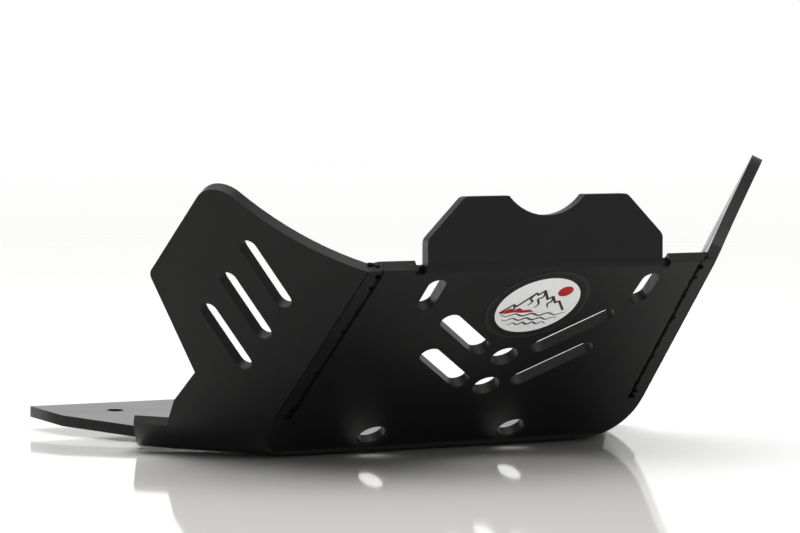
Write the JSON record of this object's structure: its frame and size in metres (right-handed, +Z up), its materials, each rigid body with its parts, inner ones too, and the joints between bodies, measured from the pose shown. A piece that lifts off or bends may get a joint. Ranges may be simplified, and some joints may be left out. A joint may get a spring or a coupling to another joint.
{
  "type": "motorcycle skid plate",
  "caption": "Black plastic motorcycle skid plate, a folded tub with a flat base, sloping vented front panel, upright top flange, splayed side wings and a round decal.",
  "frame": {"origin": "on the underside, in the middle of the flat pad that the plate stands on", "axes": "+X towards the front of the motorcycle, +Y to its left side, +Z up"},
  "size_m": [0.4257, 0.4562, 0.2088],
  "materials": {
    "black_plastic": "satin black polyethylene sheet, lightly scuffed",
    "decal": "printed round decal with a white middle and a dark ring"
  },
  "bodies": {
    "root": {"skid_plate": "black_plastic", "decal": "decal"}
  },
  "joints": []
}
